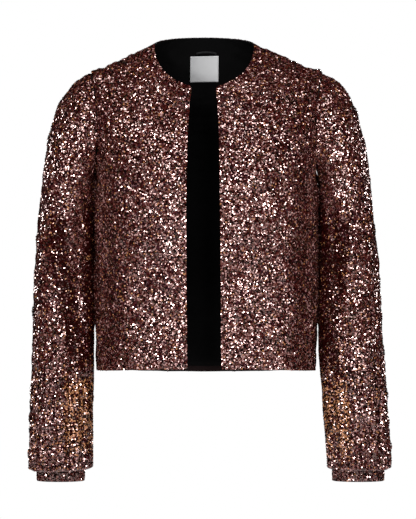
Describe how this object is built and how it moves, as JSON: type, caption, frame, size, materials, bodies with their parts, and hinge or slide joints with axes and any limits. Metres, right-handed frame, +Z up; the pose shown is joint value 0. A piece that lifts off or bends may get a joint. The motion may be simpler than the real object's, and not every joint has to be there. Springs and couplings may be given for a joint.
{
  "type": "sequinned blouson",
  "caption": "Cropped collarless blouson in sequinned cloth, worn open, with full sleeves gathered under narrow cuff bands and a dark back lining.",
  "frame": {"origin": "midway between the two points where the shoulder seams meet the neck, where the wearer's shoulders carry the garment", "axes": "+Z up, +X to the wearer's left, the front faces -Y"},
  "size_m": [0.557, 0.2296, 0.6888],
  "materials": {
    "sequin_cloth": "small round burgundy and bronze sequins on black knit",
    "cuff_band": "sequins gathered on an elastic band",
    "black_lining": "matte black jersey",
    "label_satin": "light grey woven satin",
    "loop_ribbon": "black ribbon"
  },
  "bodies": {
    "root": {"front_left": "sequin_cloth", "front_right": "sequin_cloth", "back": "sequin_cloth", "sleeve_left": "sequin_cloth", "sleeve_right": "sequin_cloth", "cuff_left": "cuff_band", "cuff_right": "cuff_band", "lining_back": "black_lining", "neck_label": "label_satin", "hanger_loop": "loop_ribbon"}
  },
  "joints": []
}
